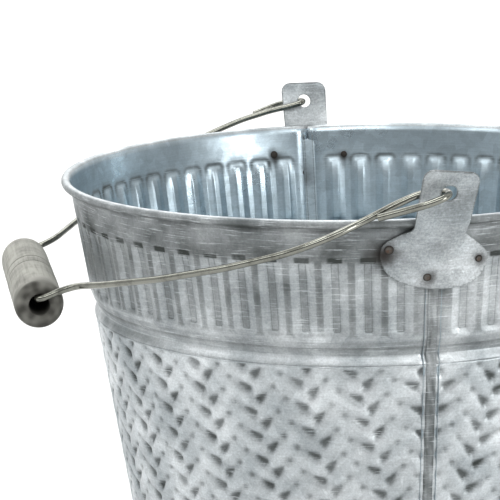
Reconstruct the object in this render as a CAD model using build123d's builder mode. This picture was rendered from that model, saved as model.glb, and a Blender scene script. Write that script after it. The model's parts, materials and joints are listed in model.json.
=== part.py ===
from build123d import *
import os
from math import cos, pi, radians, sin, tan

# Galvanised florist bucket: two pressed half shells lock-seamed at the front and back, rolled over a
# rim wire, with a pressed base, two spot-welded ears and a wire bail that carries a turned wood grip.
# Millimetres. Origin at the middle of the foot, on the ground; +Z up; front ear towards -Y.
# At rest the bail hangs down over the -X side.

os.makedirs("parts", exist_ok=True)

# ---- bucket -------------------------------------------------------------------------------------
height = 240.0              # ground to the top of the rolled rim
rim_diameter = 280.0        # across the outside of the rolled rim
rim_wire_diameter = 2.8
sheet = 0.5                 # thickness of the galvanised sheet
fit = 0.02                  # gap between sheets that lie on one another
wall_taper = 0.1506         # growth of the wall's radius for each millimetre of height
wall_below_rim = 136.3      # outside radius of the wall at the height of the rim wire

curl_bore = rim_wire_diameter / 2 + fit
curl_radius = curl_bore + sheet
rim_z = height - curl_radius
rim_radius = rim_diameter / 2 - curl_radius

# pressed groove between the fluted band and the woven field, heights below the rim wire
groove_top, groove_floor, groove_foot = 49.8, 57.7, 61.5
groove_depth = 2.2

# foot and base
foot_lip = 2.4              # width of the hem that holds the base flange
base_recess = 6.0           # height of the base above the ground
base_step_radius = 80.0     # the middle of the base is pressed up inside this radius
base_step = 1.0

# lock seams
seam_width = 4.4
seam_top = 2.6              # the seam's outer layer stops this far below the rim wire
seam_inner_foot = 1.0       # the inner layer stops this far above the base

# ---- ears ---------------------------------------------------------------------------------------
ear_sheet = 0.9
ear_standoff = 0.62         # over the seam and the pressed flutes
ear_lean = 19.5             # degrees, outward lean of the tab
tab_half_foot, tab_half_top = 11.2, 11.8
tab_top = 22.4              # above the rim wire
tab_corner = 4.2
ear_pivot_drop = 14.5       # widest line of the ear's foot, below the rim wire
ear_half_width = 22.4
ear_hole_diameter = 6.7
ear_hole_up = 27.4          # from the widest line to the hole
ear_front_turn = 7.0        # degrees; the front ear is welded on slightly turned
ear_back_turn = 0.5
ear_back_lift = 1.0
weld_diameter = 4.6
weld_places = ((-19.0, 13.4), (18.6, 14.6), (-2.0, 23.6))   # across, and below the rim wire
ear_wrap = 24.0             # degrees of wall that holds the whole ear

# ---- bail ---------------------------------------------------------------------------------------
wire_diameter = 3.0
hinge_front = Vector(2.6, -145.4, rim_z + 13.0)
hinge_back = Vector(-0.6, 145.8, rim_z + 13.8)
rest_angle = 18.95          # degrees, droop of the bail at rest
grip_reach = 167.0          # from the hinge line to the wire inside the grip
elbow = 52.3                # half the distance between the two elbows at the grip
elbow_bend = 3.5            # radius of those elbows

# ---- grip ---------------------------------------------------------------------------------------
grip_length = 101.0
grip_diameter = 22.0
grip_bore = 9.0
grip_sag = 2.7              # the grip hangs this far below the wire
grip_end_round = 3.0
grip_groove_depth = 0.7
grip_groove_places = (-5.5, 5.5)


def wall_radius(z):
    """Outside radius of the plain conical wall at a height above the ground."""
    return wall_below_rim + wall_taper * (z - rim_z)


def wall_line(bottom, top, shift):
    """Points up the wall's outer surface, moved outwards by shift, through the pressed groove."""
    heights = [(bottom, 0.0)]
    for drop, depth in ((groove_foot, 0.0), (groove_floor, groove_depth), (groove_top, 0.0)):
        if bottom < rim_z - drop < top:
            heights.append((rim_z - drop, depth))
    heights.append((top, 0.0))
    return [(wall_radius(z) - depth + shift, z) for z, depth in heights]


def layer(bottom, top, inside, outside):
    """Closed outline of one layer of sheet that follows the wall."""
    return wall_line(bottom, top, inside) + wall_line(bottom, top, outside)[::-1]


# Radial half plane at the front seam: local x is the radius, local y is the height.
seam_plane = Plane(origin=(0, 0, 0), x_dir=(0, -1, 0), z_dir=(-1, 0, 0))


def half_shell():
    """The right-hand half: wall, hemmed foot and the curl round the rim wire."""
    with BuildPart() as shell:
        with BuildSketch(seam_plane):
            with BuildLine():
                Polyline(*layer(0, rim_z + 1.0, -sheet, 0), close=True)
            make_face()
            with BuildLine():
                foot = wall_radius(0)
                Polyline((foot - foot_lip, 0), (foot, 0), (foot, sheet), (foot - foot_lip, sheet), close=True)
            make_face()
            with Locations((rim_radius, rim_z)):
                Circle(curl_radius)
                Circle(curl_bore, mode=Mode.SUBTRACT)
        revolve(axis=Axis.Z, revolution_arc=180)
    return shell.part


def seam_layer(bottom, top, inside, outside):
    """One layer of both lock seams: strips of sheet of an even width, front and back."""
    with BuildPart() as strips:
        with BuildSketch(seam_plane):
            with BuildLine():
                Polyline(*layer(bottom, top, inside, outside), close=True)
            make_face()
        revolve(axis=Axis.Z, revolution_arc=360)
        Box(seam_width, 2 * rim_diameter, 2 * height, mode=Mode.INTERSECT)
    return strips.part


# The left half carries the outer layer of the seams, the right half the inner one.
with BuildPart() as body_half_left:
    add(half_shell())
    mirror(about=Plane.YZ, mode=Mode.REPLACE)
    add(seam_layer(sheet, rim_z - seam_top, -fit, sheet + fit))
    with BuildSketch(seam_plane):
        with BuildLine():
            Polyline(*layer(-1, rim_z - seam_top + 1, -sheet - 1, fit), close=True)
        make_face()
    revolve(axis=Axis.Z, revolution_arc=180, mode=Mode.SUBTRACT)
body_half_left.part.label = "body_half_left"

inner_foot = base_recess + sheet + base_step + seam_inner_foot
with BuildPart() as body_half_right:
    add(half_shell())
    add(seam_layer(inner_foot, rim_z - seam_top, -2 * sheet - fit, -sheet + fit))
    with BuildSketch(seam_plane):
        with BuildLine():
            Polyline(*layer(inner_foot - 1, rim_z - seam_top + 1, -sheet - fit, 1), close=True)
        make_face()
    revolve(axis=Axis.Z, revolution_arc=-180, mode=Mode.SUBTRACT)
body_half_right.part.label = "body_half_right"

with BuildPart() as rim_wire:
    with BuildSketch(seam_plane):
        with Locations((rim_radius, rim_z)):
            Circle(rim_wire_diameter / 2)
    revolve(axis=Axis.Z, revolution_arc=360)
rim_wire.part.label = "rim_wire"

# Base: a flat dish whose flange turns down inside the wall and stands in the foot's hem.
with BuildPart() as base_disc:
    flange_foot = sheet + fit
    top_face = base_recess + sheet
    outer_top = wall_radius(top_face) - sheet - fit
    outer_foot = wall_radius(flange_foot) - sheet - fit
    with BuildSketch(seam_plane):
        with BuildLine():
            Polyline(
                (0, base_recess + base_step), (base_step_radius, base_recess + base_step),
                (base_step_radius + 2 * base_step, base_recess), (outer_top - sheet, base_recess),
                (outer_foot - sheet, flange_foot), (outer_foot, flange_foot), (outer_top, top_face),
                (base_step_radius + 2 * base_step, top_face), (base_step_radius, top_face + base_step),
                (0, top_face + base_step), close=True)
        make_face()
    revolve(axis=Axis.Z, revolution_arc=360)
base_disc.part.label = "base_disc"


def ear_view(turn, lift):
    """Upright plane seen along +Y, with its origin at the middle of the ear's foot, turned clockwise."""
    lean = radians(turn)
    return Plane(origin=(0, 0, rim_z + lift - ear_pivot_drop), x_dir=(cos(lean), 0, -sin(lean)),
                 z_dir=(0, -1, 0))


def ear_shape(facing, turn, lift):
    """A pressed ear: a rounded foot that follows the wall and a tab that leans out over the rim."""
    foot_z, bend_z, clear_z, top_z = (rim_z + z for z in (-30.0, -11.0, -0.5, tab_top + 2))
    clear_radius = rim_diameter / 2 + 0.2
    inner = [(wall_radius(foot_z) + ear_standoff, foot_z), (wall_radius(bend_z) + ear_standoff, bend_z),
             (clear_radius, clear_z), (clear_radius + (top_z - clear_z) * tan(radians(ear_lean)), top_z)]
    outer = [(r + ear_sheet, z) for r, z in inner]
    first_edge = Vector(0, facing, 0).rotate(Axis.Z, -ear_wrap / 2)
    radial_plane = Plane(origin=(0, 0, 0), x_dir=first_edge, z_dir=first_edge.cross(Vector(0, 0, 1)))
    view = ear_view(turn, lift)
    up = ear_pivot_drop
    with BuildPart() as ear:
        with BuildSketch(radial_plane):
            with BuildLine():
                Polyline(*(inner + outer[::-1]), close=True)
            make_face()
        revolve(axis=Axis.Z, revolution_arc=ear_wrap)
        with BuildSketch(view):
            with BuildLine():
                low_right, right = (17.6, up - 24.4), (ear_half_width, 0)
                shoulder, neck = (18.4, up - 8.6), (tab_half_foot, up - 4.0)
                side_top = (tab_half_top, up + tab_top - tab_corner)
                crown = (tab_half_top - tab_corner, up + tab_top)
                ThreePointArc((0, up - 28.5), (10.0, up - 27.5), low_right)
                ThreePointArc(low_right, (21.2, up - 20.0), right)
                ThreePointArc(right, (21.4, up - 11.2), shoulder)
                Polyline(shoulder, neck, side_top)
                RadiusArc(side_top, crown, -tab_corner)
                Line(crown, (0, up + tab_top))
                mirror(about=Plane.YZ)
            make_face()
            with Locations((0, ear_hole_up)):
                Circle(ear_hole_diameter / 2, mode=Mode.SUBTRACT)
        extrude(amount=rim_diameter, both=True, mode=Mode.INTERSECT)
    return ear.part


def weld_nuggets(facing, turn, lift):
    """Three spot-weld nuggets, fused through the wall and the ear's foot."""
    view = ear_view(turn, lift)
    with BuildPart() as nuggets:
        for across, drop in weld_places:
            spot = view.from_local_coords((across, ear_pivot_drop - drop, 0))
            reach = (wall_radius(spot.Z) ** 2 - spot.X ** 2) ** 0.5
            outward = Vector(spot.X, facing * reach, -wall_taper * wall_radius(spot.Z)).normalized()
            face = Plane(origin=(spot.X, facing * reach, spot.Z), z_dir=outward)
            with BuildSketch(face.offset(-sheet)):
                Circle(weld_diameter / 2)
            extrude(amount=sheet + ear_standoff + ear_sheet)
    return nuggets.part


with BuildPart() as ear_front:
    add(ear_shape(-1, ear_front_turn, 0))
ear_front.part.label = "ear_front"

with BuildPart() as ear_back:
    add(ear_shape(1, ear_back_turn, ear_back_lift))
ear_back.part.label = "ear_back"

with BuildPart() as ear_front_welds:
    add(weld_nuggets(-1, ear_front_turn, 0))
ear_front_welds.part.label = "ear_front_welds"

with BuildPart() as ear_back_welds:
    add(weld_nuggets(1, ear_back_turn, ear_back_lift))
ear_back_welds.part.label = "ear_back_welds"

# ---- bail and grip ------------------------------------------------------------------------------
hinge_line = (hinge_back - hinge_front).normalized()
hinge_middle = (hinge_front + hinge_back) / 2
droop = Vector(-cos(radians(rest_angle)), 0, -sin(radians(rest_angle)))
bail_up = hinge_line.cross(droop).normalized()
bail_out = bail_up.cross(hinge_line)


def on_bail(out, along, lift=0.0):
    """A point of the bail: distance out from the hinge line, along it, and above the bail's plane."""
    return hinge_middle + bail_out * out + hinge_line * along + bail_up * lift


# Each end passes out through its ear's hole and folds back, with its tail beside the arm.
front_hook = [on_bail(29.0, -143.4, 0.4), on_bail(20.0, -148.4, 0.4), on_bail(10.5, -152.8, 0.3),
              on_bail(0.0, -151.9), on_bail(0.0, -141.3),
              on_bail(9.6, -141.0, 2.6), on_bail(20.5, -139.6, 1.8)]
front_arm = [on_bail(33.0, -137.6, 0.0), on_bail(50.0, -142.6, 0.2), on_bail(68.0, -139.6),
             on_bail(92.0, -123.5), on_bail(117.0, -99.0), on_bail(138.0, -72.0)]
grip_front = [on_bail(151.0, -elbow), on_bail(grip_reach, -elbow)]
grip_back = [on_bail(grip_reach, elbow), on_bail(151.0, elbow)]
back_arm = [on_bail(138.0, 72.0), on_bail(117.0, 99.0, 0.3), on_bail(92.0, 123.5, 1.0),
            on_bail(68.0, 139.6, 2.0), on_bail(50.0, 144.0, 2.8), on_bail(34.0, 143.4, 3.2)]
back_hook = [on_bail(19.0, 142.0, 2.3), on_bail(8.0, 141.4, 0.8), on_bail(0.0, 141.5), on_bail(0.0, 151.9),
             on_bail(10.5, 152.8, 1.9), on_bail(18.0, 150.2, 2.6), on_bail(26.5, 147.2, 3.0)]
route = front_hook + front_arm + grip_front + grip_back + back_arm + back_hook


def corner_radius(before, corner, after):
    """The largest easy bend at a corner: a little under half of the shorter run either side."""
    turn = (corner - before).get_angle(after - corner)
    run = min((corner - before).length, (after - corner).length)
    return min(0.45 * run / tan(radians(turn / 2)), 60.0)


bends = [corner_radius(*route[i:i + 3]) for i in range(len(route) - 2)]
for i, corner in enumerate(route[1:-1]):
    if corner in (grip_front[1], grip_back[0]):
        bends[i] = elbow_bend

with BuildPart() as bail_wire:
    with BuildLine() as bail_path:
        FilletPolyline(*route, radius=bends)
    centre_line = bail_path.wires()[0]
    with BuildSketch(Plane(origin=centre_line @ 0, z_dir=centre_line % 0)):
        Circle(wire_diameter / 2)
    sweep(path=centre_line)
bail_wire.part.label = "bail_wire"
section = pi * (wire_diameter / 2) ** 2
print("bail wire: length", round(centre_line.length, 1), "mm, tightest bend", round(min(bends), 1),
      "mm, volume against section times length", round(bail_wire.part.volume / section / centre_line.length, 4))

# Turned grip: a plain barrel with rounded ends, a loose bore and a pair of scribed grooves.
grip_middle = on_bail(grip_reach, 0, -grip_sag)
grip_plane = Plane(origin=grip_middle, x_dir=bail_out, z_dir=bail_out.cross(hinge_line))
with BuildPart() as wood_grip:
    with BuildSketch(grip_plane):
        Rectangle(grip_diameter / 2, grip_length, align=(Align.MIN, Align.CENTER))
        with Locations(*[(grip_diameter / 2, place) for place in grip_groove_places]):
            Circle(grip_groove_depth, mode=Mode.SUBTRACT)
    revolve(axis=Axis(grip_middle, hinge_line), revolution_arc=360)
    rims = wood_grip.edges().filter_by(GeomType.CIRCLE).filter_by(lambda e: e.radius > grip_diameter / 2 - 0.01)
    ends = rims.sort_by(lambda e: abs((e.arc_center - grip_middle).dot(hinge_line)))[-2:]
    fillet(ends, grip_end_round)
    with BuildSketch(Plane(origin=grip_middle, z_dir=hinge_line)):
        Circle(grip_bore / 2)
    extrude(amount=grip_length, both=True, mode=Mode.SUBTRACT)
wood_grip.part.label = "wood_grip"

for piece in (body_half_left, body_half_right, rim_wire, base_disc, ear_front, ear_back,
              ear_front_welds, ear_back_welds, bail_wire, wood_grip):
    export_step(piece.part, f"parts/{piece.part.label}.step")
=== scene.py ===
import json
import math

import bmesh
import bpy
from bpy.props import FloatProperty, FloatVectorProperty, PointerProperty
from mathutils import Matrix, Vector, noise


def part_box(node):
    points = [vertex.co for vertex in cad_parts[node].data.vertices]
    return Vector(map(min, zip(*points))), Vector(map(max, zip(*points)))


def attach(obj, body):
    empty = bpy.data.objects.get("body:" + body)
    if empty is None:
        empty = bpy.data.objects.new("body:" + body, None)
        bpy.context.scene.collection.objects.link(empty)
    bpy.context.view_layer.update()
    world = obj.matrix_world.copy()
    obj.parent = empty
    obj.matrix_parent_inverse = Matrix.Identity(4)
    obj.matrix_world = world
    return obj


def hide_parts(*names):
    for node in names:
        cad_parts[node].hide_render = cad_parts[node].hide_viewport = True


bl_info = {
    "name": "Florist Bucket",
    "version": (1, 0, 0),
    "blender": (4, 5, 0),
    "location": "View3D > Sidebar > Bucket",
    "description": "Builds the sheet metal, ears, wire and wood of a galvanised florist bucket",
    "category": "Object",
}

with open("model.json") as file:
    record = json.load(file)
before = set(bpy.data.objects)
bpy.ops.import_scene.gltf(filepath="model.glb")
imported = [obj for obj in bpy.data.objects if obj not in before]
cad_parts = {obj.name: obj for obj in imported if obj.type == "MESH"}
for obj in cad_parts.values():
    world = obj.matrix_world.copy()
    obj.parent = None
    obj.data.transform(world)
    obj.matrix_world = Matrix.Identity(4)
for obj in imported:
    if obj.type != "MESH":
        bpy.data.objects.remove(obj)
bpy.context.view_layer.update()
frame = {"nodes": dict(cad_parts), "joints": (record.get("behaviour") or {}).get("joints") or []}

MM = 0.001
WIRE_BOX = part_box("rim_wire")
SHELL_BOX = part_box("body_half_left")
GRIP_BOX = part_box("wood_grip")

# The rolled rim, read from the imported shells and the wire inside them.
RIM_WIRE = WIRE_BOX[1].z - WIRE_BOX[0].z
RIM_Z = (WIRE_BOX[0].z + WIRE_BOX[1].z) / 2
RIM_RADIUS = WIRE_BOX[1].x - RIM_WIRE / 2
ROLL_RADIUS = SHELL_BOX[1].z - RIM_Z

# The wall is a plain cone: its outside radius at the rim wire and its growth with height.
WALL_AT_RIM = 136.3 * MM
WALL_TAPER = 0.1506
CONE_SINE = WALL_TAPER / math.sqrt(1 + WALL_TAPER ** 2)

FLUTE_PITCHES = 62          # all round; a flute in each, but for one at each seam
FLUTE_ANGLE = math.tau / FLUTE_PITCHES
# The upper edge and the floor of a flute: its middle below the rim wire, half its width, half its height and
# its corner, in millimetres.
FLUTE_EDGE = (31.6, 5.2, 17.7, 2.6)
FLUTE_FLOOR = (31.9, 1.5, 15.0, 0.6)

# The pressed groove: how far below the rim wire, and how deep, in millimetres.
GROOVE = ((49.2, 0.0), (49.9, 0.05), (53.3, 0.75), (53.9, 1.0), (57.2, 2.12), (57.7, 2.2), (58.2, 2.0),
          (61.2, 0.12), (61.6, 0.0))
FIELD_TOP = 61.8
# How grimy the band's plain sheet is, by the distance below the rim wire. The first rows also make a
# painted shadow just under the rolled rim.
BAND_GRIME_AND_SHADOW = ((0, 0.8), (2.2, 0.75), (3.4, 0.55), (12, 0.8), (20, 0.72), (48, 0.6), (50, 0.2), (63, 0.0))

# Ears, as welded on: which way they face, turn in degrees and lift in millimetres.
EARS = {"front": (-1, 7.0, 0.0), "back": (1, 0.5, 1.0)}
EAR_DROP = 14.5             # the ear's widest line, below the rim wire
EAR_STANDOFF = 0.62
EAR_LEAN = math.tan(math.radians(19.5))
EAR_HOLE_RADIUS = 3.35
EAR_HOLE_UP = 27.4          # from the ear's widest line
WELDS = ((-19.0, 13.4), (18.6, 14.6), (-2.0, 23.6))     # across, and below the rim wire
WELD_DENTS = (0.5, 0.35, 0.75)
WELD_RADII = {"front": (2.0, 1.5, 1.9), "back": (2.1, 1.8, 2.0)}

WEAVE_CORNER = (140.5, 822.4)       # one dark corner of the weave, on the flattened half shell
WEAVE_V_LINE = 3.35                 # from such a corner to the line where the strands meet
PLAIN_FOOT = (7.5, 11.0)            # the weave fades out over this stretch above the foot
HEM = (0.8, 2.15)                   # how far in the rows of the turned-in foot lie

# Lock seams: half the width of the outer and the inner layer, and how far above the ground they end.
SEAM_HALF_WIDTH = {True: 2.2, False: 3.45}
SEAM_FOOT = {True: 0.6, False: 8.6}

# The turned grip, in millimetres.
GRIP_RADIUS = 11.0
GRIP_END_ROUND = 3.0
SCRIBED_AT = (-5.5, 5.5)
SCRIBED_PROFILE = ((-1.2, 0.0), (-0.75, 0.06), (-0.5, 0.35), (-0.2, 0.66), (0.2, 0.66), (0.5, 0.35),
                   (0.75, 0.06), (1.2, 0.0))

# The camera: where it stands, and its own right, up and back directions.
CAMERA_PLACE = Vector((-0.20100, -0.92810, RIM_Z + 0.15539))
CAMERA_AXES = (Vector((0.98649, -0.16159, -0.02700)), Vector((0.05828, 0.19214, 0.97964)),
               Vector((-0.15311, -0.96797, 0.19896)))

GRIP_SPIN = next(joint for joint in frame["joints"] if joint["name"] == "grip_spin")


def linear(code):
    """A colour picked as an sRGB hex code, in the linear values that shaders and lights take."""
    levels = [int(code[i:i + 2], 16) / 255 for i in (1, 3, 5)]
    return tuple(v / 12.92 if v <= 0.04045 else ((v + 0.055) / 1.055) ** 2.4 for v in levels)


def size(name, default, description):
    """A length that a user may change, kept in metres and given here in millimetres."""
    return FloatProperty(name=name, description=description, default=default * MM, unit="LENGTH",
                         precision=5)


def colour(name, default, description):
    """A colour that a user may change."""
    return FloatVectorProperty(name=name, description=description, default=linear(default), subtype="COLOR",
                               min=0.0, max=1.0)


class BucketSizes(bpy.types.PropertyGroup):
    """Sizes of the pressed sheet metal and of the grip."""
    sheet: size("Sheet", 0.5, "Thickness of the galvanised sheet")
    flute_depth: size("Flute depth", 1.35, "How far the flutes are pressed in")
    weave_depth: size("Weave depth", 1.3, "Depth of the pressed weave")
    weave_across: size("Weave across", 23.6, "Width of one repeat of the weave")
    weave_down: size("Weave down", 11.3, "Height of one repeat of the weave")
    weave_cell: size("Weave mesh", 1.0, "Size of the mesh cells in the woven field")
    ear_sheet: size("Ear sheet", 0.9, "Thickness of the ears")
    grip_bore: size("Grip bore", 9.0, "Hole through the wood grip")


class BucketColours(bpy.types.PropertyGroup):
    """Colours of the finishes."""
    zinc: colour("Zinc", "#ccd1d3", "Outside of the sheet where it is clean")
    zinc_dull: colour("Dull zinc", "#a2a9ac", "Outside of the sheet where it is oxidised")
    zinc_inside: colour("Inside zinc", "#bccbd3", "Inside of the sheet")
    steel: colour("Bare steel", "#64625d", "Bare steel in the weld craters")
    # This colour paints dirt and oxide in the recesses, and also painted shade: in creases, grooves, the
    # flutes' top ends, the weave's valleys and under the rolled rim.
    grime: colour("Grime", "#343937", "Dirt and oxide in the recesses")
    scorch: colour("Scorch", "#26211d", "Burnt zinc round the spot welds")
    rust: colour("Rust", "#5f4535", "Rust in the weld craters")
    wire: colour("Wire", "#878880", "Galvanised wire")
    wood: colour("Wood", "#a2a29a", "Grey-washed wood")
    wood_dark: colour("Dark wood", "#35342f", "Grain and end grain of the wood")


class BucketStage(bpy.types.PropertyGroup):
    """The camera and the studio round the bucket."""
    lens: FloatProperty(name="Lens", description="Focal length on a 36 mm sensor", default=148.522,
                        subtype="DISTANCE_CAMERA")
    floor: colour("Floor", "#e8e8e8", "Plain pale floor")
    world: FloatProperty(name="Fill", description="Strength of the even light from all round", default=0.88)


# ---- shaping ------------------------------------------------------------------------------------

def smooth(low, high, value):
    """A smooth step from 0 at low to 1 at high."""
    t = min(max((value - low) / (high - low), 0.0), 1.0)
    return t * t * (3 - 2 * t)


def between(points, value):
    """Straight-line reading of a table of (value, result) points."""
    for (a, at_a), (b, at_b) in zip(points, points[1:]):
        if value <= b:
            return at_a + (at_b - at_a) * max(value - a, 0.0) / (b - a)
    return points[-1][1]


def wall_radius(drop):
    """Outside radius of the plain wall, at a distance below the rim wire. Metres."""
    return WALL_AT_RIM - WALL_TAPER * drop


def on_wall(turn, radius, drop):
    """The point at a turn from the front seam towards -X, a radius, and a drop below the rim wire."""
    return Vector((-radius * math.sin(turn), -radius * math.cos(turn), RIM_Z - drop))


def outside(shape, across, drop):
    """Distance outside the rounded rectangle of a flute's edge or floor; negative inside."""
    middle, half_width, half_height, corner = shape
    dx, dy = abs(across) - half_width + corner, abs(drop - middle) - half_height + corner
    return math.hypot(max(dx, 0.0), max(dy, 0.0)) + min(max(dx, dy), 0.0) - corner


def flute_relief(across, drop):
    """A pressed flute, a trough with a flat floor and slanting sides: its depth from 0 to 1, how far the
    point is on it, its painted shade outside (dark creases and a painted shadow in its top end) with a
    darker floor, and its painted shade inside round its top end. In millimetres, across from its middle
    line."""
    outer, floor = outside(FLUTE_EDGE, across, drop), outside(FLUTE_FLOOR, across, drop)
    side = min(max(-outer / max(floor - outer, 0.01), 0.0), 1.0)
    depth = (0.86 * side + 0.14 * smooth(0.45, -0.15, floor)) * (0.3 + 0.7 * smooth(14.5, 22.0, drop))
    depth *= 0.6 + 0.4 * smooth(49.3, 45.0, drop)
    below = smooth(16.0, 20.0, drop)
    # Painted shade outside: dark lines along the floor's edge and the outer edge, and a painted shadow in
    # the top end (roof). The floor is also made darker.
    edge = 0.75 * math.exp(-(floor / 0.36) ** 2) + 0.34 * below * math.exp(-((outer - 0.25) / 0.28) ** 2)
    roof = smooth(17.3, 16.6, drop) * smooth(13.7, 14.5, drop) * smooth(3.6, 2.8, abs(across + 0.2))
    # Painted shade inside, round the flute's top end.
    arch = 0.75 * math.exp(-((outer + 0.2) / 1.2) ** 2) * smooth(23.0, 15.0, drop)
    on_it = smooth(0.5, -0.3, outer) * smooth(15.0, 18.5, drop)
    return depth, on_it, max(edge, 0.52 * smooth(0.2, -0.4, floor) * below, 1.15 * roof), arch


def strand(x, y, down):
    """One set of slanting strands of the weave, in millimetres: height from -1 to 0, and painted shade. A
    strand runs down to the right; the valley above it is deepest in a wedge near the V line."""
    slope_x, slope_y = 0.81, -0.588
    v_line = WEAVE_V_LINE - x
    x, y = x + 3.05, y + 3.4
    y -= down * round((y * slope_x - x * slope_y) / (down * slope_x))
    across, along = y * slope_x - x * slope_y, x * slope_x + y * slope_y
    half, crest = down * slope_x / 2, -0.6
    if across < crest:
        side = (crest - across) / (crest + half)
        along += slope_y * down
    else:
        side = (across - crest) / (half - crest)
        along += slope_y * down if across < 0 else 0.0
    depth = 0.5 + 0.5 * smooth(-7.0, 1.0, along)
    height = -depth * side ** 2.2 - 0.22 * smooth(3.0, -0.5, v_line)
    to_valley = half - abs(across)
    # Painted shade: a dark wedge on the downward-facing flank of the valley near the V line, small dark
    # notches where the strands meet, and a grey downward flank.
    wedge = smooth(-3.6, -1.6, along) * smooth(4.4, 2.8, along)
    reach = 0.5 + 1.25 * smooth(-3.2, 1.8, along)
    dark = wedge * smooth(reach + 1.2, reach - 0.9, to_valley)
    notch = math.exp(-((along + 7.1) / 1.4) ** 2) * smooth(2.1, 0.3, to_valley)
    flank = 0.25 * smooth(2.4, 0.0, to_valley) * smooth(-8.5, -6.0, along)
    return height - 0.3 * dark, max(0.85 * dark, 0.65 * notch, 0.8 * flank)


def weave_relief(x, y, repeat, down):
    """Height from -1 to 0 and painted shade of the herringbone weave, at a point of the flattened half
    shell in millimetres from a dark corner. Strands slant down to the V line from the left, and from the
    right by a glide: mirrored in that line and half a row lower."""
    v_line, half, soft = WEAVE_V_LINE, repeat / 2, 0.9
    x = (x - v_line + half) % repeat - half
    falling, rising = strand(v_line + x, y, down), strand(v_line - x, y - down / 2, down)
    share = smooth(-soft, soft, x)
    if x > half - soft:
        falling = strand(v_line + x - repeat, y, down)
        share = 1 - 0.5 * smooth(half - soft, half, x)
    elif x < soft - half:
        rising = strand(v_line - x - repeat, y - down / 2, down)
        share = 0.5 * smooth(soft - half, -half, x)
    return tuple(a * (1 - share) + b * share for a, b in zip(falling, rising))


def turned_ear(ear, across, up):
    """Where a point of the flat ear comes on the bucket: along X, and above the ground. Metres."""
    _, turn, lift = EARS[ear]
    turn = math.radians(turn)
    x = across * math.cos(turn) + up * math.sin(turn)
    return x, RIM_Z + (lift - EAR_DROP) * MM - across * math.sin(turn) + up * math.cos(turn)


def weld_spots(ear):
    """Where an ear's three spot welds sit: (middle of the wall's outer face, outward direction)."""
    facing = EARS[ear][0]
    spots = []
    for across, drop in WELDS:
        x, z = turned_ear(ear, across * MM, (EAR_DROP - drop) * MM)
        radius = wall_radius(RIM_Z - z)
        y = facing * math.sqrt(radius ** 2 - x ** 2)
        out = Vector((x / radius, y / radius, -WALL_TAPER)).normalized()
        spots.append((Vector((x, y, z)), out))
    return spots


WELD_SPOTS = {ear: weld_spots(ear) for ear in EARS}
# The burnt patch of each weld, in millimetres: how far right of it and below it, and how far it reaches.
SCORCH = {"front": ((-2.0, 2.0, 6.2), (0.0, 0.0, 2.8), (1.0, 0.4, 3.2)),
          "back": ((0.0, 1.0, 3.4), (0.0, 1.0, 3.0), (0.0, 1.0, 3.2))}


def scorch_at(point):
    """How burnt the zinc is at a point, from 0 to 1, by its distance from the welds."""
    burnt = 0.0
    for ear, spots in WELD_SPOTS.items():
        for (spot, _), (across, below, reach) in zip(spots, SCORCH[ear]):
            distance = (point - spot - Vector((across, 0, -below)) * MM).length / MM
            if distance < 3 * reach:
                ragged = 1 + 0.5 * noise.noise(point * 260)
                burnt = max(burnt, math.exp(-(distance / (reach * ragged)) ** 2))
    return burnt


# ---- meshes -------------------------------------------------------------------------------------

def patch(columns, rows, place):
    """A sheet of quads, one vertex for each column and row, put where place(column, row) says.
    place gives the point, its grime and painted shade outside, and its dust and painted shade inside."""
    bm = bmesh.new()
    bmesh.ops.create_grid(bm, x_segments=len(columns) - 1, y_segments=len(rows) - 1, size=1.0)
    grime = bm.verts.layers.float.new("grime")
    dust = bm.verts.layers.float.new("dust")
    scorch = bm.verts.layers.float.new("scorch")
    for vert in bm.verts:
        column = columns[round((vert.co.x + 1) / 2 * (len(columns) - 1))]
        row = rows[round((vert.co.y + 1) / 2 * (len(rows) - 1))]
        vert.co, vert[grime], vert[dust] = place(column, row)
        vert[scorch] = scorch_at(vert.co)
    bm.normal_update()
    return bm


def wrap_uv(bm):
    """Unrolls the wall into the bmesh's own UV map: the arc across and the height up, in metres."""
    layer = bm.loops.layers.uv.new("wrap")
    reference = wall_radius(0.06)
    for face in bm.faces:
        for loop in face.loops:
            x, y, z = loop.vert.co
            turn = math.atan2(-x, -y)
            if abs(x) <= 0.2 * MM:
                turn = 0.0 if y < 0 else math.pi * (-1 if x > 0 else 1)
            loop[layer].uv = (turn * reference, z)


def spin_profile(bm, profile, steps, closed=False):
    """Spins a profile of (radius, height) in millimetres round the Z axis. Returns its vertices."""
    for vert in bm.verts:
        vert.tag = True
    start = [bm.verts.new((r * MM, 0, h * MM)) for r, h in profile]
    loop = start + start[:1] if closed else start
    edges = [bm.edges.new(pair) for pair in zip(loop, loop[1:])]
    bmesh.ops.spin(bm, geom=start + edges, cent=(0, 0, 0), axis=(0, 0, 1), angle=math.tau, steps=steps,
                   use_merge=True)
    bmesh.ops.remove_doubles(bm, verts=[v for v in bm.verts if not v.tag], dist=1e-6)
    return [v for v in bm.verts if not v.tag]


def face_outwards(bm, away):
    """Turns all faces over if most of them look the wrong way. away(point) is the outward direction."""
    score = sum(f.normal.dot(away(f.calc_center_median())) * f.calc_area() for f in bm.faces)
    if score < 0:
        bmesh.ops.reverse_faces(bm, faces=bm.faces)


def radial(point):
    """Away from the bucket's axis."""
    return Vector((point.x, point.y, 0.0))


def piece(name, bm, materials, stands_for, body="bucket"):
    """Makes an object from a bmesh, with its materials, and hands it to the frame."""
    mesh = bpy.data.meshes.new(name)
    bm.to_mesh(mesh)
    bm.free()
    for material in materials:
        mesh.materials.append(material)
    mesh.shade_smooth()
    obj = bpy.data.objects.new(name, mesh)
    bpy.context.scene.collection.objects.link(obj)
    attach(obj, body)
    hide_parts(stands_for)
    return obj


def thicken(obj, thickness, offset, inner_material=0):
    """Gives a sheet its thickness. The far side may take the next material."""
    solid = obj.modifiers.new("Sheet", "SOLIDIFY")
    solid.thickness = thickness
    solid.offset = offset
    solid.use_even_offset = False
    solid.material_offset = inner_material
    solid.material_offset_rim = inner_material


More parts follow.
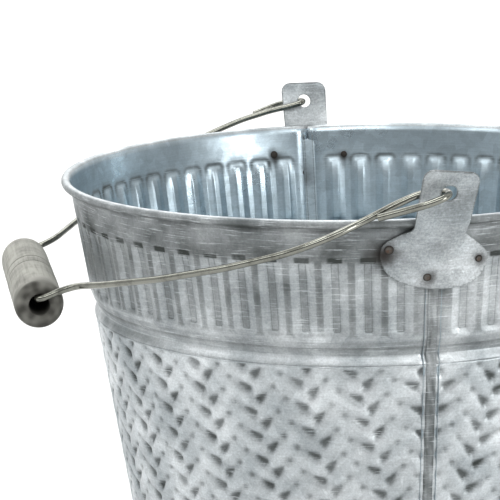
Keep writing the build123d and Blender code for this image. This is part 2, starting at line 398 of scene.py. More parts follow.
# ---- materials ----------------------------------------------------------------------------------

def add(tree, kind, values=None, links=None, **settings):
    """Adds a node to a tree, with its settings, its input values and what feeds its inputs."""
    node = tree.nodes.new(kind)
    for name, value in settings.items():
        setattr(node, name, value)
    for key, value in (values or {}).items():
        node.inputs[key].default_value = value
    for key, source in (links or {}).items():
        tree.links.new(source, node.inputs[key])
    return node


def blank(name):
    """A material with an empty tree, its Principled shader and its output."""
    material = bpy.data.materials.new(name)
    material.use_nodes = True
    tree = material.node_tree
    tree.nodes.clear()
    shader = add(tree, "ShaderNodeBsdfPrincipled")
    add(tree, "ShaderNodeOutputMaterial", links={"Surface": shader.outputs["BSDF"]})
    return material, tree, shader


def rgba(value):
    """A colour property as the four numbers that a colour socket takes."""
    return (*value[:3], 1.0)


def zinc_material(name, clean, dull, shine, speckle, marks, unrolled):
    """Hot-dip galvanised steel sheet, pressed: a soft grey metal with faint crystals a few millimetres
    across, cloudy oxide, fine rub marks round the wall, and dirt and painted shade where the attribute
    named marks says."""
    colours = bpy.context.scene.bucket_colours
    material, tree, shader = blank(name)
    place = add(tree, "ShaderNodeTexCoord").outputs["Object"]
    where = add(tree, "ShaderNodeUVMap", uv_map="wrap").outputs["UV"] if unrolled else place
    cloud = add(tree, "ShaderNodeTexNoise", {"Scale": 1 / (28 * MM), "Detail": 5.0, "Roughness": 0.62},
                {"Vector": place})
    crystal = add(tree, "ShaderNodeTexVoronoi", {"Scale": 1 / (4.5 * MM), "Randomness": 1.0},
                  {"Vector": place})
    crystal_tone = add(tree, "ShaderNodeSeparateColor", links={"Color": crystal.outputs["Color"]})
    grain = add(tree, "ShaderNodeTexNoise", {"Scale": 1 / (0.9 * MM), "Detail": 3.0, "Roughness": 0.7},
                {"Vector": place})
    stretch = add(tree, "ShaderNodeMapping", {"Scale": (1 / (14 * MM), 1 / (0.7 * MM), 1 / (0.7 * MM))},
                  {"Vector": where})
    rub = add(tree, "ShaderNodeTexNoise", {"Scale": 1.0, "Detail": 3.0, "Roughness": 0.65},
              {"Vector": stretch.outputs["Vector"]})

    cloudy = add(tree, "ShaderNodeMapRange", {"From Min": 0.36, "From Max": 0.66},
                 {"Value": cloud.outputs["Fac"]})
    tone = add(tree, "ShaderNodeMix", {"A": rgba(clean), "B": rgba(dull)},
               {"Factor": cloudy.outputs["Result"]}, data_type="RGBA")
    crystal_light = add(tree, "ShaderNodeMapRange", {"To Min": 0.9, "To Max": 1.08},
                        {"Value": crystal_tone.outputs["Red"]})
    grain_light = add(tree, "ShaderNodeMapRange",
                      {"From Min": 0.3, "From Max": 0.7, "To Min": 1 - speckle, "To Max": 1 + speckle},
                      {"Value": grain.outputs["Fac"]})
    rub_light = add(tree, "ShaderNodeMapRange",
                    {"From Min": 0.3, "From Max": 0.72, "To Min": 0.93, "To Max": 1.08},
                    {"Value": rub.outputs["Fac"]})
    light = crystal_light.outputs["Result"]
    for factor in (grain_light, rub_light):
        light = add(tree, "ShaderNodeMath", links={0: light, 1: factor.outputs["Result"]},
                    operation="MULTIPLY").outputs["Value"]
    base = add(tree, "ShaderNodeVectorMath", links={0: tone.outputs["Result"], "Scale": light},
               operation="SCALE").outputs["Vector"]
    roughness = add(tree, "ShaderNodeMapRange",
                    {"From Min": 0.3, "From Max": 0.7, "To Min": shine - 0.07, "To Max": shine + 0.1},
                    {"Value": cloud.outputs["Fac"]}).outputs["Result"]
    if marks:
        # The attribute holds dirt and painted shade alike: both mix the base towards the grime colour and
        # make it duller.
        dirt_and_shade = add(tree, "ShaderNodeAttribute", attribute_name=marks).outputs["Fac"]
        uneven = add(tree, "ShaderNodeMapRange",
                     {"From Min": 0.3, "From Max": 0.7, "To Min": 0.65, "To Max": 1.15},
                     {"Value": cloud.outputs["Fac"]})
        rubbed = add(tree, "ShaderNodeMapRange",
                     {"From Min": 0.57, "From Max": 0.68, "To Min": 1.0, "To Max": 0.2},
                     {"Value": rub.outputs["Fac"]})
        for factor in (uneven, rubbed):
            dirt_and_shade = add(tree, "ShaderNodeMath", links={0: dirt_and_shade, 1: factor.outputs["Result"]},
                       operation="MULTIPLY", use_clamp=True).outputs["Value"]
        base = add(tree, "ShaderNodeMix", {"B": rgba(colours.grime)}, {"Factor": dirt_and_shade, "A": base},
                   data_type="RGBA").outputs["Result"]
        burnt = add(tree, "ShaderNodeAttribute", attribute_name="scorch").outputs["Fac"]
        base = add(tree, "ShaderNodeMix", {"B": rgba(colours.scorch)}, {"Factor": burnt, "A": base},
                   data_type="RGBA").outputs["Result"]
        shade = add(tree, "ShaderNodeMath", links={0: dirt_and_shade, 1: burnt}, operation="MAXIMUM")
        metal = add(tree, "ShaderNodeMapRange", {"To Min": 1.0, "To Max": 0.25},
                    {"Value": shade.outputs["Value"]})
        tree.links.new(metal.outputs["Result"], shader.inputs["Metallic"])
        roughness = add(tree, "ShaderNodeMix", {3: 0.8}, {"Factor": shade.outputs["Value"], 2: roughness},
                        data_type="FLOAT").outputs["Result"]
    else:
        shader.inputs["Metallic"].default_value = 1.0
    tree.links.new(base, shader.inputs["Base Color"])
    tree.links.new(roughness, shader.inputs["Roughness"])
    height = add(tree, "ShaderNodeMath", links={0: grain.outputs["Fac"], 1: rub.outputs["Fac"]},
                 operation="ADD")
    bump = add(tree, "ShaderNodeBump", {"Strength": 0.5, "Distance": 0.06 * MM},
               {"Height": height.outputs["Value"]})
    tree.links.new(bump.outputs["Normal"], shader.inputs["Normal"])
    return material


def wire_material(name):
    """Galvanised drawn wire: brighter than the sheet, with a fine bump and dull, dirty patches."""
    colours = bpy.context.scene.bucket_colours
    material, tree, shader = blank(name)
    place = add(tree, "ShaderNodeTexCoord").outputs["Object"]
    patchy = add(tree, "ShaderNodeTexNoise", {"Scale": 1 / (9 * MM), "Detail": 4.0, "Roughness": 0.7},
                 {"Vector": place})
    fine = add(tree, "ShaderNodeTexNoise", {"Scale": 1 / (0.6 * MM), "Detail": 2.0}, {"Vector": place})
    dull = add(tree, "ShaderNodeMapRange", {"From Min": 0.5, "From Max": 0.72},
               {"Value": patchy.outputs["Fac"]})
    tone = add(tree, "ShaderNodeMix",
               {"A": rgba(colours.wire), "B": rgba([0.45 * level for level in colours.wire])},
               {"Factor": dull.outputs["Result"]}, data_type="RGBA")
    rough = add(tree, "ShaderNodeMapRange",
                {"From Min": 0.3, "From Max": 0.7, "To Min": 0.06, "To Max": 0.2},
                {"Value": patchy.outputs["Fac"]})
    bump = add(tree, "ShaderNodeBump", {"Strength": 0.4, "Distance": 0.04 * MM},
               {"Height": fine.outputs["Fac"]})
    shader.inputs["Metallic"].default_value = 1.0
    tree.links.new(tone.outputs["Result"], shader.inputs["Base Color"])
    tree.links.new(rough.outputs["Result"], shader.inputs["Roughness"])
    tree.links.new(bump.outputs["Normal"], shader.inputs["Normal"])
    return material


def weld_material(name):
    """Spot weld: burnt zinc and bare steel, black at the edge and rusty in the crater."""
    colours = bpy.context.scene.bucket_colours
    material, tree, shader = blank(name)
    place = add(tree, "ShaderNodeTexCoord").outputs["Object"]
    mottle = add(tree, "ShaderNodeTexNoise", {"Scale": 1 / (1.6 * MM), "Detail": 4.0}, {"Vector": place})
    rusty = add(tree, "ShaderNodeMapRange", {"From Min": 0.46, "From Max": 0.62},
                {"Value": mottle.outputs["Fac"]})
    ring = add(tree, "ShaderNodeAttribute", attribute_name="grime").outputs["Fac"]
    bare = add(tree, "ShaderNodeMix", {"A": rgba(colours.steel), "B": rgba(colours.rust)},
               {"Factor": rusty.outputs["Result"]}, data_type="RGBA")
    tone = add(tree, "ShaderNodeMix", {"B": rgba(colours.scorch)},
               {"Factor": ring, "A": bare.outputs["Result"]}, data_type="RGBA")
    bump = add(tree, "ShaderNodeBump", {"Strength": 0.7, "Distance": 0.1 * MM},
               {"Height": mottle.outputs["Fac"]})
    shader.inputs["Metallic"].default_value = 0.35
    shader.inputs["Roughness"].default_value = 0.62
    tree.links.new(tone.outputs["Result"], shader.inputs["Base Color"])
    tree.links.new(bump.outputs["Normal"], shader.inputs["Normal"])
    return material


def wood_material(name):
    """Turned softwood with a grey wash: long pale grain, fine dark pores, turning rings, dark end grain."""
    colours = bpy.context.scene.bucket_colours
    material, tree, shader = blank(name)
    place = add(tree, "ShaderNodeTexCoord").outputs["Object"]
    along = add(tree, "ShaderNodeMapping", {"Scale": (1 / (1.5 * MM), 1 / (30 * MM), 1 / (1.5 * MM))},
                {"Vector": place})
    grain = add(tree, "ShaderNodeTexNoise",
                {"Scale": 1.0, "Detail": 5.0, "Roughness": 0.6, "Distortion": 0.4},
                {"Vector": along.outputs["Vector"]})
    cloud = add(tree, "ShaderNodeTexNoise", {"Scale": 1 / (11 * MM), "Detail": 4.0, "Roughness": 0.6},
                {"Vector": place})
    turned = add(tree, "ShaderNodeMapping", {"Scale": (1 / (30 * MM), 1 / (0.8 * MM), 1 / (30 * MM))},
                 {"Vector": place})
    lines = add(tree, "ShaderNodeTexNoise", {"Scale": 1.0, "Detail": 2.0},
                {"Vector": turned.outputs["Vector"]})
    dark = add(tree, "ShaderNodeMapRange", {"From Min": 0.44, "From Max": 0.78, "To Max": 0.42},
               {"Value": grain.outputs["Fac"]})
    cloudy = add(tree, "ShaderNodeMapRange", {"From Min": 0.42, "From Max": 0.75, "To Max": 0.45},
                 {"Value": cloud.outputs["Fac"]})
    wear_and_shade = add(tree, "ShaderNodeAttribute", attribute_name="grime").outputs["Fac"]
    shade = add(tree, "ShaderNodeMath", links={0: dark.outputs["Result"], 1: cloudy.outputs["Result"]},
                operation="ADD", use_clamp=True)
    shade = add(tree, "ShaderNodeMath", links={0: shade.outputs["Value"], 1: wear_and_shade}, operation="MAXIMUM")
    tone = add(tree, "ShaderNodeMix", {"A": rgba(colours.wood), "B": rgba(colours.wood_dark)},
               {"Factor": shade.outputs["Value"]}, data_type="RGBA")
    height = add(tree, "ShaderNodeMath", links={0: grain.outputs["Fac"], 1: lines.outputs["Fac"]},
                 operation="ADD")
    bump = add(tree, "ShaderNodeBump", {"Strength": 0.6, "Distance": 0.15 * MM},
               {"Height": height.outputs["Value"]})
    shader.inputs["Roughness"].default_value = 0.78
    tree.links.new(tone.outputs["Result"], shader.inputs["Base Color"])
    tree.links.new(bump.outputs["Normal"], shader.inputs["Normal"])
    return material


def finish(name, make, *values):
    """The material of that name, made with those values the first time it is asked for."""
    return bpy.data.materials.get(name) or make(name, *values)


def sheet_finishes():
    """The outside and the inside of the bucket's sheet, and the outside again for the rolled rim, where the
    sheet's inner face comes round to the front."""
    colours = bpy.context.scene.bucket_colours
    inside_dull = [0.72 * level for level in colours.zinc_inside]
    outside = finish("galvanised_sheet_outside", zinc_material, colours.zinc, colours.zinc_dull, 0.42, 0.15,
                     "grime", True)
    inside = finish("galvanised_sheet_inside", zinc_material, colours.zinc_inside, inside_dull, 0.3, 0.07,
                    "dust", True)
    return [outside, inside, outside]


def ear_finish():
    """The ears' thicker sheet, duller and more speckled than the wall."""
    colours = bpy.context.scene.bucket_colours
    return finish("galvanised_ear_sheet", zinc_material, colours.zinc, colours.zinc_dull, 0.5, 0.24,
                  "grime", False)


def base_finish():
    """The base's sheet, which has no marks of its own."""
    colours = bpy.context.scene.bucket_colours
    return finish("galvanised_base_sheet", zinc_material, colours.zinc_inside, colours.zinc_dull, 0.38,
                  0.07, "", False)


def wire_finish():
    """The galvanised wire of the bail and the rim."""
    return finish("galvanised_drawn_wire", wire_material)


# ---- the pieces ---------------------------------------------------------------------------------

def flute_columns():
    """Angles from seam to seam that follow the flutes' edges closely."""
    pitch = FLUTE_ANGLE * wall_radius(32 * MM) / MM
    steps = [0.0, 0.8, 1.25, 1.5, 1.8, 2.7, 3.5, 4.3, 4.95, 5.2, 5.5]
    offsets = sorted({-s for s in steps} | set(steps))
    columns = [0.0]
    for flute in range(1, FLUTE_PITCHES // 2):
        columns.append((flute - 0.5) * FLUTE_ANGLE)
        columns += [(flute + offset / pitch) * FLUTE_ANGLE for offset in offsets]
    return columns + [(FLUTE_PITCHES / 2 - 0.5) * FLUTE_ANGLE, math.pi]


def build_band(side):
    """The upper part of one half shell: rolled rim, plain band, flutes and groove. side is 1 for -X."""
    sizes = bpy.context.scene.bucket_sizes
    sheet = sizes.sheet
    name = "left" if side == 1 else "right"
    roll = [("roll", angle) for angle in (-122, -95, -65, -35, -8, 18, 44, 70, 95, 120, 145, 168)]
    drops = [0.6, 2.0, 4.5, 7.5, 10.5, 12.8, 13.6, 13.9, 14.2, 14.8, 15.5, 16.1, 16.6, 16.9, 17.2, 17.8,
             22.0, 27.0, 32.0, 37.0, 42.0, 45.2, 46.3, 46.7, 47.0, 47.4, 48.0, 48.6, 49.1, 49.4,
             49.9, 51.5, 53.3, 53.9, 55.5, 57.2, 57.7, 58.2, 59.7, 61.2, 61.6, FIELD_TOP]
    rows = roll + [("wall", d) for d in drops]

    def place(turn, row):
        kind, value = row
        if kind == "roll":
            mid, angle = ROLL_RADIUS - sheet / 2, math.radians(value)
            point = on_wall(turn, RIM_RADIUS + mid * math.cos(angle), -mid * math.sin(angle))
            point.x *= side
            # Painted shade: the roll is darker all round but its top, and darkest on its underside, over a
            # little grime.
            wear_and_shade = 0.06 + 0.6 * smooth(78, 35, value) + 0.3 * smooth(-10, -50, value)
            return point, wear_and_shade, 0.3 * wear_and_shade
        flute = round(turn / FLUTE_ANGLE)
        radius = wall_radius(value * MM)
        shaky = 0.25 * noise.noise(Vector((flute * 3.1, side * 5.0, 0.3)))
        across = (turn - flute * FLUTE_ANGLE) * radius / MM
        rise, on_flute, marks, arch = 0.0, 0.0, 0.0, 0.0
        if 0 < flute < FLUTE_PITCHES // 2:
            rise, on_flute, marks, arch = flute_relief(across, value + shaky)
        arch *= 1 + 0.7 * noise.noise(Vector((flute * 2.3, side * 4.0, value / 7)))
        groove = between(GROOVE, value)
        # Painted shade: dark lines in the groove's two creases, and its downward-facing shoulder painted
        # darker.
        crease = 0.8 * math.exp(-((value - 53.7) / 0.5) ** 2)
        crease += 0.5 * math.exp(-((value - 61.7) / 0.35) ** 2)
        shoulder = 0.42 * smooth(49.4, 50.6, value) * smooth(57.8, 57.0, value)
        # The plain band's grime, with the painted shadow under the rolled rim, from the table.
        plain = between(BAND_GRIME_AND_SHADOW, value)
        plain *= 1 + 0.5 * noise.noise(Vector((turn * 8, value / 9, side * 6.0)))
        ripple = 0.10 * noise.noise(Vector((turn * 5, value / 25, side * 3.0)))
        radius += ripple * MM - rise * sizes.flute_depth - groove * MM - sheet / 2
        point = on_wall(turn, radius, value * MM)
        point.x *= side
        return point, max(marks, crease, shoulder, plain * (1 - 0.66 * on_flute)), max(arch, 0.3 * crease)

    bm = patch(flute_columns(), rows, place)
    for face in bm.faces:
        middle = face.calc_center_median()
        rolled = middle.z > RIM_Z + 0.5 * MM or math.hypot(middle.x, middle.y) > RIM_RADIUS - 0.9 * MM
        face.material_index = 1 if rolled else 0
    face_outwards(bm, radial)
    wrap_uv(bm)
    obj = piece(f"fluted_band_{name}", bm, sheet_finishes(), f"body_half_{name}")
    thicken(obj, sheet, 0.0, inner_material=1)


def build_field(side, quarter):
    """The lower part of one half shell, front or back quarter: the pressed weave, the plain foot and its
    turned-in hem."""
    sizes = bpy.context.scene.bucket_sizes
    sheet = sizes.sheet
    name = "left" if side == 1 else "right"
    repeat, down = sizes.weave_across / MM, sizes.weave_down / MM
    foot_drop = RIM_Z / MM - sheet / MM / 2
    width = math.pi * wall_radius(110 * MM)
    count = round(width / sizes.weave_cell / 2)
    start = 0.0 if quarter == "front" else math.pi / 2
    columns = [start + math.pi / 2 * i / count for i in range(count + 1)]
    steps = round((foot_drop - FIELD_TOP) / (sizes.weave_cell / MM * 0.95))
    rows = [("wall", FIELD_TOP + (foot_drop - FIELD_TOP) * i / steps) for i in range(steps + 1)]
    rows += [("hem", inwards) for inwards in HEM]
    fade_end, fade_start = (foot_drop - above for above in PLAIN_FOOT)

    def place(turn, row):
        kind, value = row
        drop = foot_drop if kind == "hem" else value
        radius = wall_radius(drop * MM)
        slant = radius / CONE_SINE / MM
        lean = (math.pi / 2 - turn) * CONE_SINE
        flat_x, flat_y = slant * math.sin(lean), slant * math.cos(lean)
        bend_x, bend_y = (0.5 * noise.noise(Vector((flat_x / 40, flat_y / 40, side * 7.0 + seed)))
                          for seed in (0, 30))
        height, grime = weave_relief(flat_x - WEAVE_CORNER[0] + bend_x, flat_y - WEAVE_CORNER[1] + bend_y,
                                     repeat, down)
        uneven = 1 + 0.3 * noise.noise(Vector((flat_x / 9, flat_y / 9, side * 11.0)))
        strength = smooth(FIELD_TOP, FIELD_TOP + 1.6, drop) * smooth(fade_end, fade_start, drop) * uneven
        strength *= smooth(1.6, 3.4, radius * math.sin(turn) / MM)
        point = on_wall(turn, radius - sheet / 2 + height * strength * sizes.weave_depth, drop * MM)
        if kind == "hem":
            point = on_wall(turn, radius - sheet / 2 - value * MM, drop * MM)
        point.x *= side
        # The weave's dark marks are painted shade in its valleys, full outside and fainter inside.
        return point, grime * strength, 0.3 * grime * strength

    bm = patch(columns, rows, place)
    face_outwards(bm, radial)
    wrap_uv(bm)
    obj = piece(f"woven_field_{name}_{quarter}", bm, sheet_finishes(), f"body_half_{name}")
    thicken(obj, sheet, 0.0, inner_material=1)


def build_seam(where, outer):
    """One layer of a lock seam: a strip folded down over the joint of the half shells, front or back."""
    sizes = bpy.context.scene.bucket_sizes
    facing = -1 if where == "front" else 1
    half = SEAM_HALF_WIDTH[outer] * MM
    lift = sizes.sheet
    edges = (-1.0, -0.97, -0.9, -0.8, -0.4, 0.0, 0.4, 0.8, 0.9, 0.97, 1.0)
    foot = RIM_Z / MM - SEAM_FOOT[outer]
    drops = [2.6, 4.0, 8.0, 14.0, 20.0, 26.0, 32.0, 38.0, 44.0, 48.0, 49.2,
             49.9, 51.5, 53.3, 53.9, 55.5, 57.2, 57.7, 58.2, 59.7, 61.2, 61.6, 63.0]
    drops += [63.0 + (foot - 63.0) * i / 36 for i in range(1, 37)]

    def place(edge, drop):
        groove = 0.8 * between(GROOVE, drop) * MM
        fold = between(((0.8, 1.0), (0.9, 0.8), (0.97, 0.2), (1.0, -1.4)), abs(edge))
        waver = 0.12 * MM * noise.noise(Vector((drop / 9, facing * 2.0, half / MM)))
        if not outer:
            fold += (0.1 - fold) * smooth(6.0, 2.8, drop)      # its top end lies flat on the wall
        if outer:
            radius = wall_radius(drop * MM) - groove + (fold - 0.5) * lift * 0.9 + 0.02 * MM
        else:
            radius = wall_radius(drop * MM) - groove - sizes.sheet - (fold - 0.5) * lift * 0.9 - 0.02 * MM
        x = edge * half + waver
        y = facing * math.sqrt(radius ** 2 - x ** 2)
        line = 0.8 * smooth(0.84, 0.95, abs(edge))
        dented = 0.7 * smooth(49, 51, drop) * smooth(60, 57, drop)
        stain = 0.74 + 0.45 * noise.noise(Vector((edge * 1.5, drop / 6, facing * 4.0)))
        return Vector((x, y, RIM_Z - drop * MM)), max(line, dented, stain), 0.25 + 0.3 * line

    bm = patch(edges, drops, place)
    face_outwards(bm, radial if outer else (lambda p: -radial(p)))
    wrap_uv(bm)
    materials = sheet_finishes() if outer else sheet_finishes()[1:]
    layer = "outer" if outer else "inner"
    half_shell = "body_half_left" if outer else "body_half_right"
    obj = piece(f"seam_{layer}_{where}", bm, materials, half_shell)
    thicken(obj, 0.4 * sizes.sheet, -1.0)


def ear_outline():
    """Half of the ear's outline from its foot up to the middle of its top edge, in millimetres."""
    up = EAR_DROP
    points = [(0.0, up - 28.5), (5.2, up - 28.25), (10.0, up - 27.5), (14.2, up - 26.2), (17.6, up - 24.4)]
    points += [(19.7, up - 22.4), (21.2, up - 20.0), (22.1, up - 17.3), (22.4, 0.0)]
    points += [(22.15, up - 12.6), (21.4, up - 11.2), (20.1, up - 9.9), (18.4, up - 8.6), (15.0, up - 6.4)]
    points += [(11.9, up - 4.4), (11.2, up - 3.0), (11.5, up + 8.0), (11.8, up + 18.0)]
    points += [(11.8 - 4.2 * (1 - math.cos(math.radians(a))), up + 18.0 + 4.2 * math.sin(math.radians(a)))
               for a in (22, 45, 68, 90)]
    return points + [(0.0, up + 22.2)]


def ear_radius(x, z):
    """Radius of the ear's inner face: on the wall and over the seam, out round the rim, then up the tab."""
    drop = (RIM_Z - z) / MM
    standoff = EAR_STANDOFF * (1 - 0.75 * smooth(3.0, 9.0, abs(x) / MM))
    on_foot = wall_radius(drop * MM) / MM + standoff
    bend = 11 - 8 * smooth(9.0, 14.0, abs(x) / MM)
    foot = wall_radius(bend * MM) / MM + standoff
    clear = (RIM_RADIUS + ROLL_RADIUS) / MM + 0.2
    step = foot + (clear - foot) * (bend - drop) / (bend - 0.5)
    tab = clear + (0.5 - drop) * EAR_LEAN
    soft = 0.8
    radius = on_foot + soft * math.log1p(math.exp(min((step - on_foot) / soft, 40)))
    radius = max(radius, on_foot)
    if drop < 2:
        share = smooth(2.0, -1.5, drop)
        radius = radius * (1 - share) + tab * share
    return radius * MM


def build_ear(where):
    """One pressed ear: its outline is filled, sliced fine, wrapped on to the wall and leaned out on top."""
    facing = EARS[where][0]
    sizes = bpy.context.scene.bucket_sizes
    bm = bmesh.new()
    half = ear_outline()
    loop = half + [(-x, y) for x, y in half[-2:0:-1]]
    verts = [bm.verts.new((x, y, 0)) for x, y in loop]
    edges = [bm.edges.new((verts[i - 1], verts[i])) for i in range(len(verts))]
    hole = bmesh.ops.create_circle(bm, segments=32, radius=EAR_HOLE_RADIUS,
                                   matrix=Matrix.Translation((0, EAR_HOLE_UP, 0)))
    edges += list({e for v in hole["verts"] for e in v.link_edges})
    bmesh.ops.triangle_fill(bm, use_beauty=True, use_dissolve=False, edges=edges)
    for axis, low, high in ((Vector((1, 0, 0)), -22, 22), (Vector((0, 1, 0)), -13, 36)):
        for step in range(low, high + 1):
            geometry = bm.verts[:] + bm.edges[:] + bm.faces[:]
            bmesh.ops.bisect_plane(bm, geom=geometry, dist=1e-4, plane_co=axis * step, plane_no=axis)
    grime = bm.verts.layers.float.new("grime")
    scorch = bm.verts.layers.float.new("scorch")
    rims = {v for e in bm.edges if e.is_boundary for v in e.verts}
    for vert in bm.verts:
        across, up = vert.co.x * MM, vert.co.y * MM
        x, z = turned_ear(where, across, up)
        radius = ear_radius(x, z) + sizes.ear_sheet / 2
        radius += 0.25 * MM * noise.noise(Vector((across * 60, up * 60, facing * 2.0)))
        point = Vector((x, facing * math.sqrt(radius ** 2 - x ** 2), z))
        vert[scorch] = scorch_at(point)
        for (spot, _), dent in zip(WELD_SPOTS[where], WELD_DENTS):
            gap = math.hypot(point.x - spot.x, point.z - spot.z) / MM
            lip = 0.15 * math.exp(-((gap - 2.9) / 0.6) ** 2)
            radius -= (dent * math.exp(-(gap / 1.9) ** 4) - lip) * MM
        vert.co = (x, facing * math.sqrt(radius ** 2 - x ** 2), z)
        stain = 0.2 + 0.3 * noise.noise(Vector((across * 90, up * 90, 4.0 + facing)))
        # Besides random stains, a dark line is painted all round the cut edge: painted shade along the edge,
        # and wear.
        vert[grime] = max(stain, 0.75 if vert in rims else 0.0)
    bm.normal_update()
    face_outwards(bm, radial)
    obj = piece(f"pressed_ear_{where}", bm, [ear_finish()], f"ear_{where}")
    thicken(obj, sizes.ear_sheet, 0.0)
    edge = obj.modifiers.new("Edge", "BEVEL")
    edge.width = 0.16 * MM
    edge.segments = 2
    edge.limit_method = "ANGLE"
    edge.angle_limit = math.radians(50)


def build_welds(where):
    """The three spot welds of one ear: a crater with a raised lip outside and a flat burnt spot inside."""
    sizes = bpy.context.scene.bucket_sizes
    bm = bmesh.new()
    grime = bm.verts.layers.float.new("grime")
    top = EAR_STANDOFF + sizes.ear_sheet / MM
    for (spot, out), width in zip(WELD_SPOTS[where], WELD_RADII[where]):
        profile = [(0.0, -0.62), (width * 0.8, -0.6), (width * 0.95, -0.45), (width, 0.0),
                   (width, top - 0.6), (width * 0.9, top - 0.2), (width * 0.7, top - 0.28),
                   (width * 0.45, top - 0.55), (0.0, top - 0.62)]
        fresh = spin_profile(bm, profile, 24)
        for vert in fresh:
            r = math.hypot(vert.co.x, vert.co.y) / MM / width
            vert[grime] = max(0.4 + 0.6 * smooth(0.4, 0.9, r), 0.9 if vert.co.z < 0 else 0.0)
        turn = out.to_track_quat("Z", "Y").to_matrix().to_4x4()
        bmesh.ops.transform(bm, matrix=Matrix.Translation(spot) @ turn, verts=fresh)
    bmesh.ops.recalc_face_normals(bm, faces=bm.faces)
    piece(f"spot_welds_{where}", bm, [finish("scorched_spot_weld", weld_material)], f"ear_{where}_welds")


def build_grip():
    """The turned grip: a profile with rounded ends and two scribed grooves, spun round its own axis."""
    sizes = bpy.context.scene.bucket_sizes
    half = ((GRIP_BOX[1].y - GRIP_BOX[0].y) / MM - 0.2) / 2
    bore = sizes.grip_bore / MM / 2
    plain_end = -7.5            # the plain stretch of each half stops here, before the scribed grooves
    lower = [(bore, -half + 8), (bore, -half + 0.8), (bore + 0.25, -half + 0.2), (bore + 0.8, -half),
             (7.0, -half), (GRIP_RADIUS - GRIP_END_ROUND, -half)]
    for angle in (math.radians(degrees) for degrees in (15, 30, 45, 60, 75, 90)):
        lower.append((GRIP_RADIUS - GRIP_END_ROUND * (1 - math.sin(angle)),
                      -half + GRIP_END_ROUND * (1 - math.cos(angle))))
    steps = [-half + 3 + 2.0 * i for i in range(1, int((half - 9) / 2.0))]
    lower += [(GRIP_RADIUS, h) for h in steps if h < plain_end]
    grooves = [(GRIP_RADIUS - deep, middle + h) for middle in SCRIBED_AT for h, deep in SCRIBED_PROFILE]
    profile = lower + grooves + [(r, -h) for r, h in reversed(lower)]
    bm = bmesh.new()
    spin_profile(bm, profile, 96, closed=True)
    grime = bm.verts.layers.float.new("grime")
    for vert in bm.verts:
        r, h = math.hypot(vert.co.x, vert.co.y) / MM, vert.co.z / MM
        end_grain = 0.98 - 0.16 * smooth(6.0, 9.0, r) + 0.4 * noise.noise(vert.co * 260)
        end = smooth(half - 3.4, half - 1.0, abs(h)) * end_grain
        inside = 1.0 if r < bore + 0.3 and abs(h) < half - 0.5 else 0.0
        scribed = smooth(GRIP_RADIUS - 0.02, GRIP_RADIUS - 0.3, r) if abs(h) < 8 else 0.0
        band = 0.75 * smooth(half - 12.0, half - 4.0, -h) * (0.7 + 0.9 * noise.noise(vert.co * 120))
        vert[grime] = min(max(end, inside, scribed, band), 1.0)
        if r > bore + 1:
            swell = 1 - 0.014 * smooth(half - 12, half, abs(h)) + 0.01 * noise.noise(vert.co * 70) - 0.012
            vert.co.x *= swell
            vert.co.y *= swell
    bmesh.ops.recalc_face_normals(bm, faces=bm.faces)
    turn = Vector(GRIP_SPIN["axis"]).to_track_quat("Z", "Y").to_matrix().to_4x4()
    bmesh.ops.transform(bm, matrix=Matrix.Translation(GRIP_SPIN["pos_m"]) @ turn, verts=bm.verts)
    piece("turned_grip", bm, [finish("grey_washed_wood", wood_material)], "wood_grip",
          body="grip")


def repaint(node, material):
    """Gives a CAD node its finish."""
    obj = frame["nodes"][node]
    obj.data.materials.clear()
    obj.data.materials.append(material)


# ---- stage --------------------------------------------------------------------------------------

def area_light(name, place, target, width, height, radiance):
    """A soft rectangular light that faces a point, its brightness given as the radiance of its face."""
    data = bpy.data.lights.new(name, "AREA")
    data.shape = "RECTANGLE"
    data.size, data.size_y = width, height
    data.energy = radiance * math.pi * width * height
    light = bpy.data.objects.new(name, data)
    bpy.context.scene.collection.objects.link(light)
    light.location = place
    light.rotation_euler = (Vector(place) - Vector(target)).to_track_quat("Z", "Y").to_euler()


